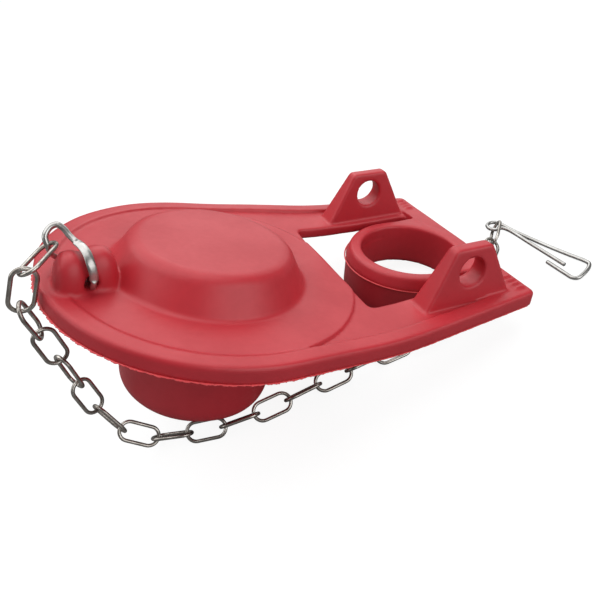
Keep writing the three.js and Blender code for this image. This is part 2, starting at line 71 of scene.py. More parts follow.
def join(a: Array, b: Array, fillet: float) -> Array:
    """Both forms: the smaller field, less a quarter of the fillet times their nearness squared."""
    near = np.maximum(fillet - np.abs(a - b), 0.0) / fillet
    return np.minimum(a, b) - near * near * fillet * 0.25


def common(a: Array, b: Array, rounding: float) -> Array:
    """What lies in both forms, with its edge rounded: the join of the two outsides, turned round."""
    return -join(-a, -b, rounding)


def cut(a: Array, tool: Array, rounding: float) -> Array:
    """The first form without the second, with the edge of the cut rounded."""
    return common(a, -tool, rounding)


def slab(z: Array, low: float, high: float) -> Array:
    """The layer between two heights: the distance from its middle, less half its depth."""
    return np.abs(z - (low + high) / 2) - (high - low) / 2


def cone(reach: Array, z: Array, foot: Pair, top: Pair) -> Array:
    """A round form whose radius runs evenly between two pairs of height and radius.

    The distance from the axis, less the radius at that height, times the cosine of the slope.
    """
    slope = (top[1] - foot[1]) / (top[0] - foot[0])
    return (reach - foot[1] - slope * (z - foot[0])) / math.hypot(1.0, slope)


def half_plane(x: Array, y: Array, a: Pair, b: Pair) -> Array:
    """The field of the side to the left of the line from a to b: the distance across the line."""
    length = math.hypot(b[0] - a[0], b[1] - a[1])
    return ((x - a[0]) * (b[1] - a[1]) - (y - a[1]) * (b[0] - a[0])) / length


def ripple(x: Array, y: Array, z: Array, length: float) -> Array:
    """A soft unevenness between -1 and 1: the mean of three crossed sine waves of one length."""
    k = 2 * math.pi / length
    return (np.sin(k * (x + 0.7 * y)) + np.sin(k * (1.3 * y - 0.4 * x + 0.5 * z) + 1.0)
            + np.sin(k * (0.8 * z + 0.6 * x - 0.3 * y) + 2.1)) / 3


def smooth_step(t: Array) -> Array:
    """From nought to one with level ends: three times the square, less twice the cube."""
    return t * t * (3 - 2 * t)


class Places(NamedTuple):
    """Points of the flat frame, in mm, as three arrays of one shape."""

    x: Array
    y: Array
    z: Array


@dataclass(frozen=True)
class Lie:
    """How the moulding lies: its flat frame's origin and tilt, and the crease of its tail.

    The flat frame is in mm, with X from the nose to the tail and Z off the plate's upper face.
    """

    origin: Array
    tilt: float
    crease_x: float = 36.3
    crease_angle: float = math.radians(10.0)
    crease_half: float = 9.0
    far_lift: float = 1.3
    lift_x: float = 32.0
    lift_spread: float = 17.0
    lift_start_y: float = 12.0
    lift_run_y: float = 26.0

    def bent(self, points: Array) -> Array:
        """Turns the tail half up about the crease.

        The angle grows evenly over the crease's width, so the plate's face follows an arc there:
        x and z are the sine and one less the cosine of the angle, times the radius. The far side's
        root also swells up a little: a bell along X times a smooth step across Y.

        Args:
            points: Rows of x, y and z in the flat frame.

        Returns:
            The rows with the bend.
        """
        reach = self.crease_half
        radius = 2 * reach / self.crease_angle
        along = points[:, 0] - self.crease_x + reach
        angle = np.clip(along / radius, 0.0, self.crease_angle)
        past = np.maximum(along - 2 * reach, 0.0)
        before = np.minimum(along, 0.0)
        height = points[:, 2]
        x = before + radius * np.sin(angle) + past * np.cos(angle) - height * np.sin(angle)
        z = radius * (1 - np.cos(angle)) + past * np.sin(angle) + height * np.cos(angle)
        far = np.clip((points[:, 1] - self.lift_start_y) / self.lift_run_y, 0.0, 1.0)
        bell = np.exp(-(((points[:, 0] - self.lift_x) / self.lift_spread) ** 2))
        z = z + self.far_lift * bell * smooth_step(far)
        return np.stack([x + self.crease_x - reach, points[:, 1], z], axis=1)

    def placed(self, points: Array) -> Array:
        """Bends points and tilts them into the frame.

        Args:
            points: Rows of x, y and z in the flat frame.

        Returns:
            The rows in the frame, in metres.
        """
        p = self.bent(np.asarray(points, float))
        c, s = math.cos(self.tilt), math.sin(self.tilt)
        turned = np.stack([c * p[:, 0] + s * p[:, 2], p[:, 1], -s * p[:, 0] + c * p[:, 2]], axis=1)
        return self.origin + MM * turned

    @staticmethod
    def from_record(record: dict, dome_height: float) -> "Lie":
        """Finds the lie from the record's dome_top mount.

        Args:
            record: The part's record.
            dome_height: How high the dome's top is over the plate's face, in mm.

        Returns:
            The lie.
        """
        mount = next(m for m in record["mounts"] if m["name"] == "dome_top")
        axis = np.array(mount["axis"], float)
        origin = np.array(mount["pos_m"], float) - dome_height * MM * axis
        return Lie(origin=origin, tilt=math.atan2(axis[0], axis[2]))


# Meshes

CURVE_STEPS = 40


def mesh_object(name: str, points: Array, faces: Array, turn: bool = False) -> Object:
    """A smooth mesh object from arrays.

    Args:
        name: The piece's name.
        points: Its vertices in metres, one row each.
        faces: Its faces as rows of vertex numbers, all with as many corners.
        turn: Whether it is closed and its faces have to be turned outwards.

    Returns:
        The object, linked to the scene.
    """
    mesh = bpy.data.meshes.new(name)
    corners = faces.shape[1]
    mesh.vertices.add(len(points))
    mesh.vertices.foreach_set("co", points.astype(np.float32).ravel())
    mesh.loops.add(faces.size)
    mesh.loops.foreach_set("vertex_index", faces.astype(np.int32).ravel())
    mesh.polygons.add(len(faces))
    mesh.polygons.foreach_set("loop_start", np.arange(0, faces.size, corners, dtype=np.int32))
    mesh.update(calc_edges=True)
    mesh.validate()
    mesh.shade_smooth()
    obj = bpy.data.objects.new(name, mesh)
    bpy.context.scene.collection.objects.link(obj)
    if turn:
        work = bmesh.new()
        work.from_mesh(mesh)
        bmesh.ops.recalc_face_normals(work, faces=work.faces)
        if work.calc_volume(signed=True) < 0:
            bmesh.ops.reverse_faces(work, faces=work.faces)
        work.to_mesh(mesh)
        work.free()
    return obj


def net(values: Array, axes: list[Array]) -> tuple[Array, Array]:
    """The surface where a field on a grid is nought, as a net of four-sided faces.

    Each cell that the surface crosses gets a vertex, at the mean of the places where the field
    changes sign along its edges, and each edge that it crosses a face between the cells around it.

    Args:
        values: The field at the grid's points, negative inside.
        axes: The grid's places along X, Y and Z.

    Returns:
        The vertices, and the faces as rows of four vertex numbers that face outwards.
    """
    cells = tuple(n - 1 for n in values.shape)
    total = np.zeros(cells + (3,), np.float32)
    count = np.zeros(cells, np.float32)
    inside = values < 0
    crossings = []
    for axis in range(3):
        before, after = (tuple(part if k == axis else slice(None) for k in range(3))
                         for part in (slice(None, -1), slice(1, None)))
        crossed = inside[before] != inside[after]
        step = np.where(crossed, values[before] - values[after], 1.0)
        share = np.where(crossed, values[before] / step, 0.0)
        crossings.append((crossed, inside[before]))
        others = [k for k in range(3) if k != axis]
        for corner in ((0, 0), (0, 1), (1, 0), (1, 1)):
            part = [slice(None)] * 3
            for k, offset in zip(others, corner):
                part[k] = slice(offset, offset + cells[k])
            here = crossed[tuple(part)]
            count += here
            total[..., axis] += share[tuple(part)] * here
            for k, offset in zip(others, corner):
                total[..., k] += offset * here
    active = count > 0
    number = np.full(cells, -1, np.int64)
    number[active] = np.arange(int(active.sum()))
    index = np.argwhere(active) + total[active] / count[active][:, None]
    points = np.stack([np.interp(index[:, k], np.arange(len(axes[k])), axes[k])
                       for k in range(3)], axis=1)
    faces = []
    for axis, (crossed, starts_inside) in enumerate(crossings):
        b, c = (axis + 1) % 3, (axis + 2) % 3
        at = np.argwhere(crossed)
        at = at[(at[:, b] > 0) & (at[:, c] > 0) & (at[:, b] < cells[b]) & (at[:, c] < cells[c])]
        step_b, step_c = np.eye(3, dtype=int)[b], np.eye(3, dtype=int)[c]
        ring = [at - step_b - step_c, at - step_c, at, at - step_b]
        quad = np.stack([number[tuple(r.T)] for r in ring], axis=1)
        outwards = starts_inside[tuple(at.T)]
        quad[~outwards] = quad[~outwards][:, ::-1]
        faces.append(quad)
    return points, np.concatenate(faces)


def carried(path: Array, closed: bool, first: Array, start: int = 0) -> Array:
    """Directions across a path that turn with it as little as they can.

    Each direction is the last one with its part along the path taken off. On a closed path the
    turn left over at the end is spread evenly along it.

    Args:
        path: The path's points.
        closed: Whether the path is a loop.
        first: The direction wanted at the start point.
        start: The number of that point, nought on an open path.

    Returns:
        One unit direction for each point.
    """
    tangents = path_tangents(path, closed)
    across = np.zeros_like(path)
    last = np.asarray(first, float)
    for i in np.roll(np.arange(len(path)), -start):
        last = last - tangents[i] * (last @ tangents[i])
        last /= np.linalg.norm(last)
        across[i] = last
    if closed:
        begin = across[start]
        left = last - tangents[start] * (last @ tangents[start])
        side = np.cross(tangents[start], begin)
        over = math.atan2(left @ side, left @ begin)
        angle = -over * (((np.arange(len(path)) - start) % len(path)) / len(path))
        sides = np.cross(tangents, across)
        across = across * np.cos(angle)[:, None] + sides * np.sin(angle)[:, None]
    return across


def path_tangents(path: Array, closed: bool) -> Array:
    """Unit directions along a path: from the point before to the point after.

    Args:
        path: The path's points.
        closed: Whether the path is a loop.

    Returns:
        One direction for each point.
    """
    if closed:
        t = np.roll(path, -1, axis=0) - np.roll(path, 1, axis=0)
    else:
        t = np.gradient(path, axis=0)
    return t / np.linalg.norm(t, axis=1)[:, None]


def curve_through(points: Array, closed: bool, pitch: float) -> Array:
    """A smooth path through points, at an even pitch.

    Between two points it is a cubic that follows the points before and after, with each stretch
    timed by the square root of its length.

    Args:
        points: The points that the path goes through.
        closed: Whether it comes back to the first.
        pitch: The wanted distance between the path's points.

    Returns:
        The path's points.
    """
    p = np.asarray(points, float)
    if closed:
        p = np.vstack([p[-1:], p, p[:2]])
    else:
        p = np.vstack([2 * p[:1] - p[1:2], p, 2 * p[-1:] - p[-2:-1]])
    fine = []
    for a, b, c, d in zip(p[:-3], p[1:-2], p[2:-1], p[3:]):
        t1 = math.sqrt(np.linalg.norm(b - a))
        t2 = t1 + math.sqrt(np.linalg.norm(c - b))
        t3 = t2 + math.sqrt(np.linalg.norm(d - c))
        t = np.linspace(t1, t2, CURVE_STEPS, endpoint=False)[:, None]
        a1 = (t1 - t) / t1 * a + t / t1 * b
        a2 = (t2 - t) / (t2 - t1) * b + (t - t1) / (t2 - t1) * c
        a3 = (t3 - t) / (t3 - t2) * c + (t - t2) / (t3 - t2) * d
        b1 = (t2 - t) / t2 * a1 + t / t2 * a2
        b2 = (t3 - t) / (t3 - t1) * a2 + (t - t1) / (t3 - t1) * a3
        fine.append((t2 - t) / (t2 - t1) * b1 + (t - t1) / (t2 - t1) * b2)
    path = np.vstack(fine + [fine[0][:1] if closed else p[-2:-1]])
    run = np.concatenate([[0.0], np.cumsum(np.linalg.norm(np.diff(path, axis=0), axis=1))])
    steps = round(run[-1] / pitch)
    at = np.linspace(0.0, run[-1], steps + 1)
    even = np.stack([np.interp(at, run, path[:, k]) for k in range(3)], axis=1)
    return even[:-1] if closed else even


def swept(path: Array, across: Array, half_widths: Array, closed: bool,
          sides: int = 16, squareness: float = 1.0) -> tuple[Array, Array]:
    """A wire: an oval section carried along a path.

    A point of the section is the cosine and sine of its angle, each raised to the squareness,
    times the two half-widths, along the across direction and at right angles to it.

    Args:
        path: The wire's middle line.
        across: The direction of the section's first half-width at each point.
        half_widths: The two half-widths at each point.
        closed: Whether the wire is a loop; an open one has flat ends.
        sides: How many points the section has.
        squareness: 1 for an oval section, less for one with flatter sides.

    Returns:
        The vertices, and the faces as rows of four vertex numbers.
    """
    beside = np.cross(path_tangents(path, closed), across)
    angle = 2 * math.pi * np.arange(sides) / sides
    c, s = np.cos(angle), np.sin(angle)
    c, s = np.sign(c) * np.abs(c) ** squareness, np.sign(s) * np.abs(s) ** squareness
    rim = (across[:, None] * half_widths[:, :1, None] * c[None, :, None]
           + beside[:, None] * half_widths[:, 1:, None] * s[None, :, None])
    points = (path[:, None] + rim).reshape(-1, 3)
    rows = len(path)
    i = np.arange(rows if closed else rows - 1)[:, None]
    j = np.arange(sides)
    here, after, beside_j = i * sides, ((i + 1) % rows) * sides, (j + 1) % sides
    faces = np.stack([here + j, after + j, after + beside_j, here + beside_j], axis=-1)
    faces = faces.reshape(-1, 4)[:, ::-1]
    if closed:
        return points, faces
    caps = []
    for row, end in ((0, path[0]), (rows - 1, path[-1])):
        middle = len(points)
        points = np.vstack([points, end])
        k = np.arange(0, sides, 2)
        fan = np.stack([row * sides + k, row * sides + (k + 1) % sides,
                        row * sides + (k + 2) % sides, np.full_like(k, middle)], axis=1)
        caps.append(fan if row == 0 else fan[:, ::-1])
    return points, np.vstack([faces] + caps)


# Finishes

SPECK_FINENESS = 9.0
SPECK_SHARE = 0.35
MOTTLE_RANGE = {"From Min": 0.52, "From Max": 0.84}
SWELL_SCALE = 90.0
SWELL_HEIGHT = 0.0006
GRAIN_HEIGHT = 0.00006


def new_group(name: str, inputs: dict[str, float | None],
              outputs: dict[str, str]) -> tuple[Tree, Node, Node]:
    """Makes a node group with its sockets.

    Args:
        name: The group's name.
        inputs: Each input's name, with its starting value, or None where it is a colour.
        outputs: Each output's name, with its socket's kind.

    Returns:
        The group, its input node and its output node.
    """
    tree = bpy.data.node_groups.new(name, "ShaderNodeTree")
    for label, value in inputs.items():
        kind = "NodeSocketColor" if value is None else "NodeSocketFloat"
        made = tree.interface.new_socket(name=label, in_out="INPUT", socket_type=kind)
        if value is not None:
            made.default_value = value
    for label, kind in outputs.items():
        tree.interface.new_socket(name=label, in_out="OUTPUT", socket_type=kind)
    return tree, tree.nodes.new("NodeGroupInput"), tree.nodes.new("NodeGroupOutput")


def add_nodes(tree: Tree, *kinds: str) -> list[Node]:
    """New shader nodes in a tree, one of each kind in turn."""
    return [tree.nodes.new("ShaderNode" + kind) for kind in kinds]


def preset(node: Node, values: dict[str | int, object]) -> None:
    """Sets a node's inputs, by name or number, to fixed values."""
    for key, value in values.items():
        node.inputs[key].default_value = value


def link(tree: Tree, *joins: tuple) -> None:
    """Links sockets: each join is a node, its output, another node and that one's input."""
    for source, output, target, socket in joins:
        tree.links.new(source.outputs[output], target.inputs[socket])


def mottle_group() -> Tree:
    """Uneven colour: a base colour drifts towards a second one in soft clouds and fine specks.

    Returns:
        The group, with Colour A, Colour B, Scale and Amount in, and Colour and Mask out.
    """
    tree, given, made = new_group(
        "mottle", {"Colour A": None, "Colour B": None, "Scale": 60.0, "Amount": 0.5},
        {"Colour": "NodeSocketColor", "Mask": "NodeSocketFloat"})
    place, clouds, specks = add_nodes(tree, "TexCoord", "TexNoise", "TexNoise")
    finer, blend, amount = add_nodes(tree, "Math", "Math", "Math")
    spread, mix = add_nodes(tree, "MapRange", "Mix")
    mix.data_type = "RGBA"
    finer.operation = amount.operation = "MULTIPLY"
    blend.operation = "MULTIPLY_ADD"
    preset(clouds, {"Detail": 4.0})
    preset(specks, {"Detail": 2.0})
    preset(finer, {1: SPECK_FINENESS})
    preset(blend, {1: SPECK_SHARE})
    preset(spread, MOTTLE_RANGE)
    link(tree, (place, "Object", clouds, "Vector"), (place, "Object", specks, "Vector"),
         (given, "Scale", clouds, "Scale"), (given, "Scale", finer, 0),
         (finer, 0, specks, "Scale"), (specks, "Fac", blend, 0), (clouds, "Fac", blend, 2),
         (blend, 0, spread, "Value"), (spread, "Result", amount, 0),
         (given, "Amount", amount, 1), (amount, 0, mix, "Factor"),
         (given, "Colour A", mix, "A"), (given, "Colour B", mix, "B"),
         (mix, "Result", made, "Colour"), (amount, 0, made, "Mask"))
    return tree


def grain_group() -> Tree:
    """A fine surface grain over a slow unevenness, as heights that give a normal.

    Returns:
        The group, with Grain Scale, Grain Depth and Swell Depth in, and Normal out.
    """
    tree, given, made = new_group(
        "surface_grain", {"Grain Scale": 1500.0, "Grain Depth": 0.2, "Swell Depth": 0.2},
        {"Normal": "NodeSocketVector"})
    place, fine, slow = add_nodes(tree, "TexCoord", "TexNoise", "TexNoise")
    swell, grain = add_nodes(tree, "Bump", "Bump")
    preset(slow, {"Scale": SWELL_SCALE, "Detail": 2.0})
    preset(fine, {"Detail": 2.0})
    preset(swell, {"Distance": SWELL_HEIGHT})
    preset(grain, {"Distance": GRAIN_HEIGHT})
    link(tree, (place, "Object", slow, "Vector"), (place, "Object", fine, "Vector"),
         (given, "Grain Scale", fine, "Scale"), (slow, "Fac", swell, "Height"),
         (given, "Swell Depth", swell, "Strength"), (fine, "Fac", grain, "Height"),
         (given, "Grain Depth", grain, "Strength"), (swell, "Normal", grain, "Normal"),
         (grain, "Normal", made, "Normal"))
    return tree


@dataclass(frozen=True)
class Finish:
    """A surface finish: two colours that mottle, a gloss that varies with them, and a grain.

    The grain is its scale, its depth and the depth of the slow swell under it.
    """

    name: str
    colour: Triple
    second: Triple
    amount: float
    mottle_scale: float
    roughness: Pair
    grain: Triple
    metallic: float = 0.0

    def material(self, mottle: Tree, grain: Tree) -> bpy.types.Material:
        """Builds the finish as a material.

        Args:
            mottle: The group that gives the colour and its mask.
            grain: The group that gives the normal.

        Returns:
            The material.
        """
        made = bpy.data.materials.new(self.name)
        made.use_nodes = True
        tree = made.node_tree
        shader = tree.nodes["Principled BSDF"]
        colours, bumps, gloss = add_nodes(tree, "Group", "Group", "MapRange")
        colours.node_tree, bumps.node_tree = mottle, grain
        preset(shader, {"Metallic": self.metallic})
        preset(colours, {"Colour A": (*self.colour, 1.0), "Colour B": (*self.second, 1.0),
                         "Scale": self.mottle_scale, "Amount": self.amount})
        preset(bumps, dict(zip(("Grain Scale", "Grain Depth", "Swell Depth"), self.grain)))
        preset(gloss, dict(zip(("To Min", "To Max"), self.roughness)))
        link(tree, (colours, "Colour", shader, "Base Color"), (colours, "Mask", gloss, "Value"),
             (gloss, "Result", shader, "Roughness"), (bumps, "Normal", shader, "Normal"))
        return made


class Slot(Enum):
    """The finishes that pieces wear: the record's three, and its rubber where that is thin, in a
    lighter red of painted light.
    """

    RUBBER = "rubber"
    THIN_PAINTED_LIGHT = "thin_rubber_painted_light"
    BRIGHT = "bright_steel"
    CHAIN = "chain_steel"


FINISHES = {
    Slot.RUBBER: Finish("red_rubber", (0.52, 0.024, 0.036), (0.43, 0.018, 0.028), amount=0.55,
                        mottle_scale=70.0, roughness=(0.40, 0.52), grain=(1400.0, 0.25, 0.16)),
    # Painted light: the thin rubber is a lighter red than the rest, standing in for light that the
    # thin flash catches and lets through.
    Slot.THIN_PAINTED_LIGHT: Finish("thin_red_rubber_painted_light", (0.78, 0.07, 0.08), (0.60, 0.04, 0.05), amount=0.5,
                       mottle_scale=200.0, roughness=(0.40, 0.52), grain=(1400.0, 0.25, 0.16)),
    Slot.BRIGHT: Finish("bright_wire", (0.50, 0.495, 0.48), (0.32, 0.31, 0.29), amount=0.6,
                        mottle_scale=260.0, roughness=(0.26, 0.40), grain=(2600.0, 0.20, 0.25),
                        metallic=1.0),
    Slot.CHAIN: Finish("chain_wire", (0.55, 0.52, 0.48), (0.20, 0.175, 0.15), amount=0.7,
                       mottle_scale=420.0, roughness=(0.24, 0.42), grain=(2600.0, 0.25, 0.30),
                       metallic=1.0),
}


@dataclass
class Wardrobe:
    """Holds the materials, each made once."""

    made: dict[Slot, bpy.types.Material] = field(default_factory=dict)

    def __post_init__(self) -> None:
        """Builds the shared groups and each finish."""
        mottle, grain = mottle_group(), grain_group()
        for slot, finish in FINISHES.items():
            self.made[slot] = finish.material(mottle, grain)

    def dress(self, obj: Object, slot: Slot, *nodes: str) -> None:
        """Gives a piece its finish, lets it ride on the root body and stand for CAD nodes.

        Args:
            obj: The piece.
            slot: Its finish.
            nodes: The CAD nodes that it stands for.
        """
        obj.data.materials.append(self.made[slot])
        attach(obj, "root")
        if nodes:
            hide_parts(*nodes)
        LOG.info("%s: %d faces, %s", obj.name, len(obj.data.polygons), slot.value)


# The rubber moulding


@dataclass(frozen=True)
class Lobe:
    """One rounded lobe of the nose's lug, in mm."""

    x: float
    y: float
    half_x: float
    half_y: float
    height: float


@dataclass
class Moulding:
    """The red rubber moulding, worked out as one field in its flat frame, in mm.

    Forms that stand on others reach sink below their surface, and cuts run clear past it.
    """

    lie: Lie
    sink: float = 1.0
    clear: float = 2.0
    thickness: float = 3.3
    rim_height: float = 1.0
    rim_width: float = 4.6
    rim_round: float = 1.2
    nose_x: float = 1.2
    nose_radius: float = 42.2
    tail_x: float = 81.8
    tail_half: float = 32.8
    tail_corner: float = 1.8
    recess_end_x: float = 75.4
    recess_corner: float = 3.0
    disc_radius: float = 38.0
    disc_height: float = 0.5
    disc_fillet: float = 0.1
    window_front: Pair = (35.8, 22.5)
    window_bend: Pair = (56.0, 21.5)
    window_end_x: float = 75.4
    window_corner: float = 2.5
    dome_base: float = 25.1
    dome_top: float = 19.7
    dome_height: float = 9.0
    dome_round: float = 2.2
    ball_top: float = 23.0
    ball_foot: float = 20.0
    ball_depth: float = 32.0
    ball_round: float = 5.25
    ball_wall: float = 2.5
    hollow_round: float = 3.25
    mouth_radius: float = 11.0
    collar_x: float = 62.6
    collar_top: float = 17.6
    collar_step: float = 19.0
    collar_step_drop: float = 3.6
    collar_lap: float = 0.4
    collar_lower: float = 18.6
    collar_foot_round: float = 0.7
    collar_depth: float = 12.7
    bridge_half: float = 17.0
    bore_radius: float = 14.3
    bore_end_z: float = 6.0
    ear_foot_x: Pair = (47.9, 75.3)
    ear_top_x: Pair = (56.1, 67.6)
    ear_height: float = 15.4
    ear_inner_y: Pair = (23.0, 24.2)
    ear_outer_y: Pair = (29.8, 27.7)
    ear_hole: Pair = (61.6, 8.8)
    ear_hole_radius: float = 4.04
    lug_front: Lobe = Lobe(-34.2, -6.2, 3.7, 4.8, 9.0)
    lug_rear: Lobe = Lobe(-28.2, -4.2, 4.6, 4.6, 9.2)
    lobe_powers: Triple = (2.4, 2.8, 2.5)
    lobe_fillet: float = 1.6
    lug_hole: Pair = (-30.0, 2.6)
    lug_hole_y: Pair = (-14.0, 6.0)
    lug_hole_radius: float = 1.6
    mark_x: float = 78.6
    mark_y: float = 26.8
    mark_pitch: float = 1.9
    mark_half: Pair = (1.5, 0.48)
    mark_height: float = 0.5
    ripple_depth: float = 0.05
    ripple_length: float = 23.0
    pitch: float = 0.59
    margin: float = 1.2
    ball_stretch: float = 1.9

    @property
    def ball_foot_z(self) -> float:
        """The height of the ball's foot."""
        return -self.thickness - self.ball_depth

    def side_taper(self) -> float:
        """The angle between the plate's straight side and X, with the side tangent to the nose."""
        run = self.tail_x - self.nose_x
        return (math.asin(self.nose_radius / math.hypot(run, self.tail_half))
                - math.atan2(self.tail_half, run))

    def sides(self, at: Places) -> Array:
        """The plate seen from above, without its rear: a round nose with two tangent sides.

        In front of the tangent points it is the distance from the nose's middle less the radius,
        and behind them the distance across the side's line.

        Args:
            at: The places.

        Returns:
            The outline's field.
        """
        taper = self.side_taper()
        ahead, side = at.x - self.nose_x, np.abs(at.y)
        along = ahead * math.cos(taper) - side * math.sin(taper)
        across = ahead * math.sin(taper) + side * math.cos(taper)
        return np.where(along < 0, np.hypot(ahead, at.y), across) - self.nose_radius

    def plate(self, at: Places) -> Array:
        """The plate: a slab with a raised rim, its face sunk within the rim, and a thin disc.

        Args:
            at: The places.

        Returns:
            The plate's field.
        """
        sides = self.sides(at)
        edge = common(sides, at.x - self.tail_x, self.tail_corner)
        whole = common(edge, at.z - self.rim_height, self.rim_round)
        whole = common(whole, -self.thickness - at.z, FINE)
        recess = common(sides + self.rim_width, at.x - self.recess_end_x, self.recess_corner)
        recess = common(recess, -at.z, FINE)
        disc = common(np.hypot(at.x, at.y) - self.disc_radius,
                      slab(at.z, -self.sink, self.disc_height), HAIR)
        return join(cut(whole, recess, CRISP), disc, self.disc_fillet)

    def window(self, at: Places) -> Array:
        """The window between the arms: straight ends, and sides that draw in and then run on.

        Args:
            at: The places.

        Returns:
            The window's field.
        """
        side = np.abs(at.y)
        drawn_in = half_plane(at.x, side, self.window_bend, self.window_front)
        sides = np.where(at.x < self.window_bend[0], drawn_in, side - self.window_bend[1])
        ends = np.maximum(self.window_front[0] - at.x, at.x - self.window_end_x)
        return common(sides, ends, self.window_corner)

    def bulb(self, at: Places) -> Array:
        """The dome above and the ball below, each a cone with a rounded edge.

        Args:
            at: The places.

        Returns:
            The field of both.
        """
        reach, foot = np.hypot(at.x, at.y), self.ball_foot_z
        dome = cone(reach, at.z, (0.0, self.dome_base), (self.dome_height, self.dome_top))
        dome = common(dome, slab(at.z, -self.clear, self.dome_height), self.dome_round)
        ball = cone(reach, at.z, (foot, self.ball_foot), (-self.thickness, self.ball_top))
        ball = common(ball, slab(at.z, foot, -self.sink), self.ball_round)
        return join(dome, ball, HAIR)

    def hollow(self, at: Places) -> Array:
        """The inside of the ball and dome, one wall inside their outside, and the round mouth.

        Args:
            at: The places.

        Returns:
            The hollow's field.
        """
        reach, foot, wall = np.hypot(at.x, at.y), self.ball_foot_z, self.ball_wall
        waist = (-self.thickness, self.ball_top - wall)
        top = self.dome_height - wall
        inside = common(cone(reach, at.z, (foot, self.ball_foot - wall), waist),
                        slab(at.z, foot + wall, top), self.hollow_round)
        inside = common(inside, cone(reach, at.z, waist, (top, self.dome_top - wall)), EASY)
        mouth = common(reach - self.mouth_radius,
                       slab(at.z, foot - self.clear, foot + wall + self.sink), FINE)
        return join(inside, mouth, SOFT)

    def collar(self, at: Places) -> Array:
        """The collar, in two steps, and its bridge to the tail bar.

        Args:
            at: The places.

        Returns:
            The field of both.
        """
        top = self.rim_height
        step, foot = top - self.collar_step_drop, top - self.collar_depth
        dx = at.x - self.collar_x
        reach = np.hypot(dx, at.y)
        upper = common(cone(reach, at.z, (step, self.collar_step), (top, self.collar_top)),
                       slab(at.z, step, top), SOFT)
        lower = common(reach - self.collar_lower, slab(at.z, foot, step + self.collar_lap),
                       self.collar_foot_round)
        bridge = common(np.abs(at.y) - self.bridge_half, slab(at.z, -self.thickness, top), EASY)
        bridge = common(bridge, np.maximum(-dx, at.x - self.window_end_x - self.sink), BURIED)
        return join(join(upper, lower, HAIR), bridge, FINE)

    def ear(self, at: Places) -> Array:
        """An ear on each arm: a tapered tongue with a round hole, the same on both sides.

        Args:
            at: The places.

        Returns:
            The ears' field.
        """
        side, top = np.abs(at.y), self.ear_height
        front = half_plane(at.x, at.z, (self.ear_top_x[0], top), (self.ear_foot_x[0], 0.0))
        rear = half_plane(at.x, at.z, (self.ear_foot_x[1], 0.0), (self.ear_top_x[1], top))
        inner = half_plane(side, at.z, (self.ear_inner_y[1], top), (self.ear_inner_y[0], 0.0))
        outer = half_plane(side, at.z, (self.ear_outer_y[0], 0.0), (self.ear_outer_y[1], top))
        profile = common(common(front, rear, FULL), at.z - top, FULL)
        tongue = common(profile, common(inner, outer, CRISP), SOFT)
        tongue = common(tongue, -self.sink - at.z, BURIED)
        hole = np.hypot(at.x - self.ear_hole[0], at.z - self.ear_hole[1]) - self.ear_hole_radius
        return cut(tongue, hole, EASY)

    def lug(self, at: Places) -> Array:
        """The lug: two rounded lobes run together, with the ring's hole across them.

        A lobe is a root of the sum of powers of the three distances from its middle, less one.

        Args:
            at: The places.

        Returns:
            The lug's field.
        """
        lobes = []
        flat, upright, root = self.lobe_powers
        for lobe in (self.lug_front, self.lug_rear):
            u, v = (at.x - lobe.x) / lobe.half_x, (at.y - lobe.y) / lobe.half_y
            w = np.maximum(at.z, 0.0) / lobe.height
            radius = (np.abs(u) ** flat + np.abs(v) ** flat + w ** upright) ** (1 / root)
            lobes.append((radius - 1.0) * min(lobe.half_x, lobe.half_y))
        both = common(join(*lobes, self.lobe_fillet), -self.sink - at.z, BURIED)
        hole = np.hypot(at.x - self.lug_hole[0], at.z - self.lug_hole[1]) - self.lug_hole_radius
        hole = common(hole, slab(at.y, *self.lug_hole_y), FINE)
        return cut(both, hole, CRISP)

    def marks(self, at: Places) -> Array:
        """Four plain low ribs on the tail bar near each of its corners.

        Args:
            at: The places.

        Returns:
            The ribs' field, the distance from the nearest rib's middle less its half width.
        """
        step = (np.abs(at.y) - self.mark_y) / self.mark_pitch
        nearest = np.clip(np.round(step - 0.5), -2, 1) + 0.5
        across = np.abs(step - nearest) * self.mark_pitch - self.mark_half[1]
        run = np.abs(at.x - self.mark_x) - self.mark_half[0]
        return common(common(run, across, FINE),
                      slab(at.z, 0.0, self.rim_height + self.mark_height), FINE)

    def body(self, points: Array) -> Array:
        """The whole moulding: its forms joined, then cut, with a slight ripple.

        Args:
            points: Places in the flat frame, with x, y and z last.

        Returns:
            The field there.
        """
        at = Places(*np.moveaxis(points, -1, 0))
        whole = cut(self.plate(at), self.window(at), SOFT)
        whole = join(whole, self.bulb(at), SOFT)
        whole = join(whole, self.collar(at), CRISP)
        whole = join(whole, self.ear(at), EASY)
        whole = join(whole, self.lug(at), FULL)
        whole = join(whole, self.marks(at), HAIR)
        whole = cut(whole, self.hollow(at), SOFT)
        bore_foot = self.rim_height - self.collar_depth - self.clear
        bore = common(np.hypot(at.x - self.collar_x, at.y) - self.bore_radius,
                      slab(at.z, bore_foot, self.bore_end_z), BURIED)
        whole = cut(whole, bore, FULL)
        return whole + self.ripple_depth * ripple(*at, self.ripple_length)

    def grid_axes(self) -> list[Array]:
        """The grid's places along X, Y and Z, wider apart up the plain ball.

        Returns:
            Three rising rows of places, in mm.
        """
        low = (self.nose_x - self.nose_radius - self.margin, -self.nose_radius - self.margin,
               self.ball_foot_z - self.margin)
        high = (self.tail_x + self.margin, self.nose_radius + self.margin,
                self.ear_height + self.margin)
        axes = [np.arange(a, b, self.pitch) for a, b in zip(low, high)]
        ball = np.arange(low[2], -self.thickness - self.clear, self.ball_stretch * self.pitch)
        axes[2] = np.concatenate([ball, np.arange(ball[-1] + self.pitch, high[2], self.pitch)])
        return axes

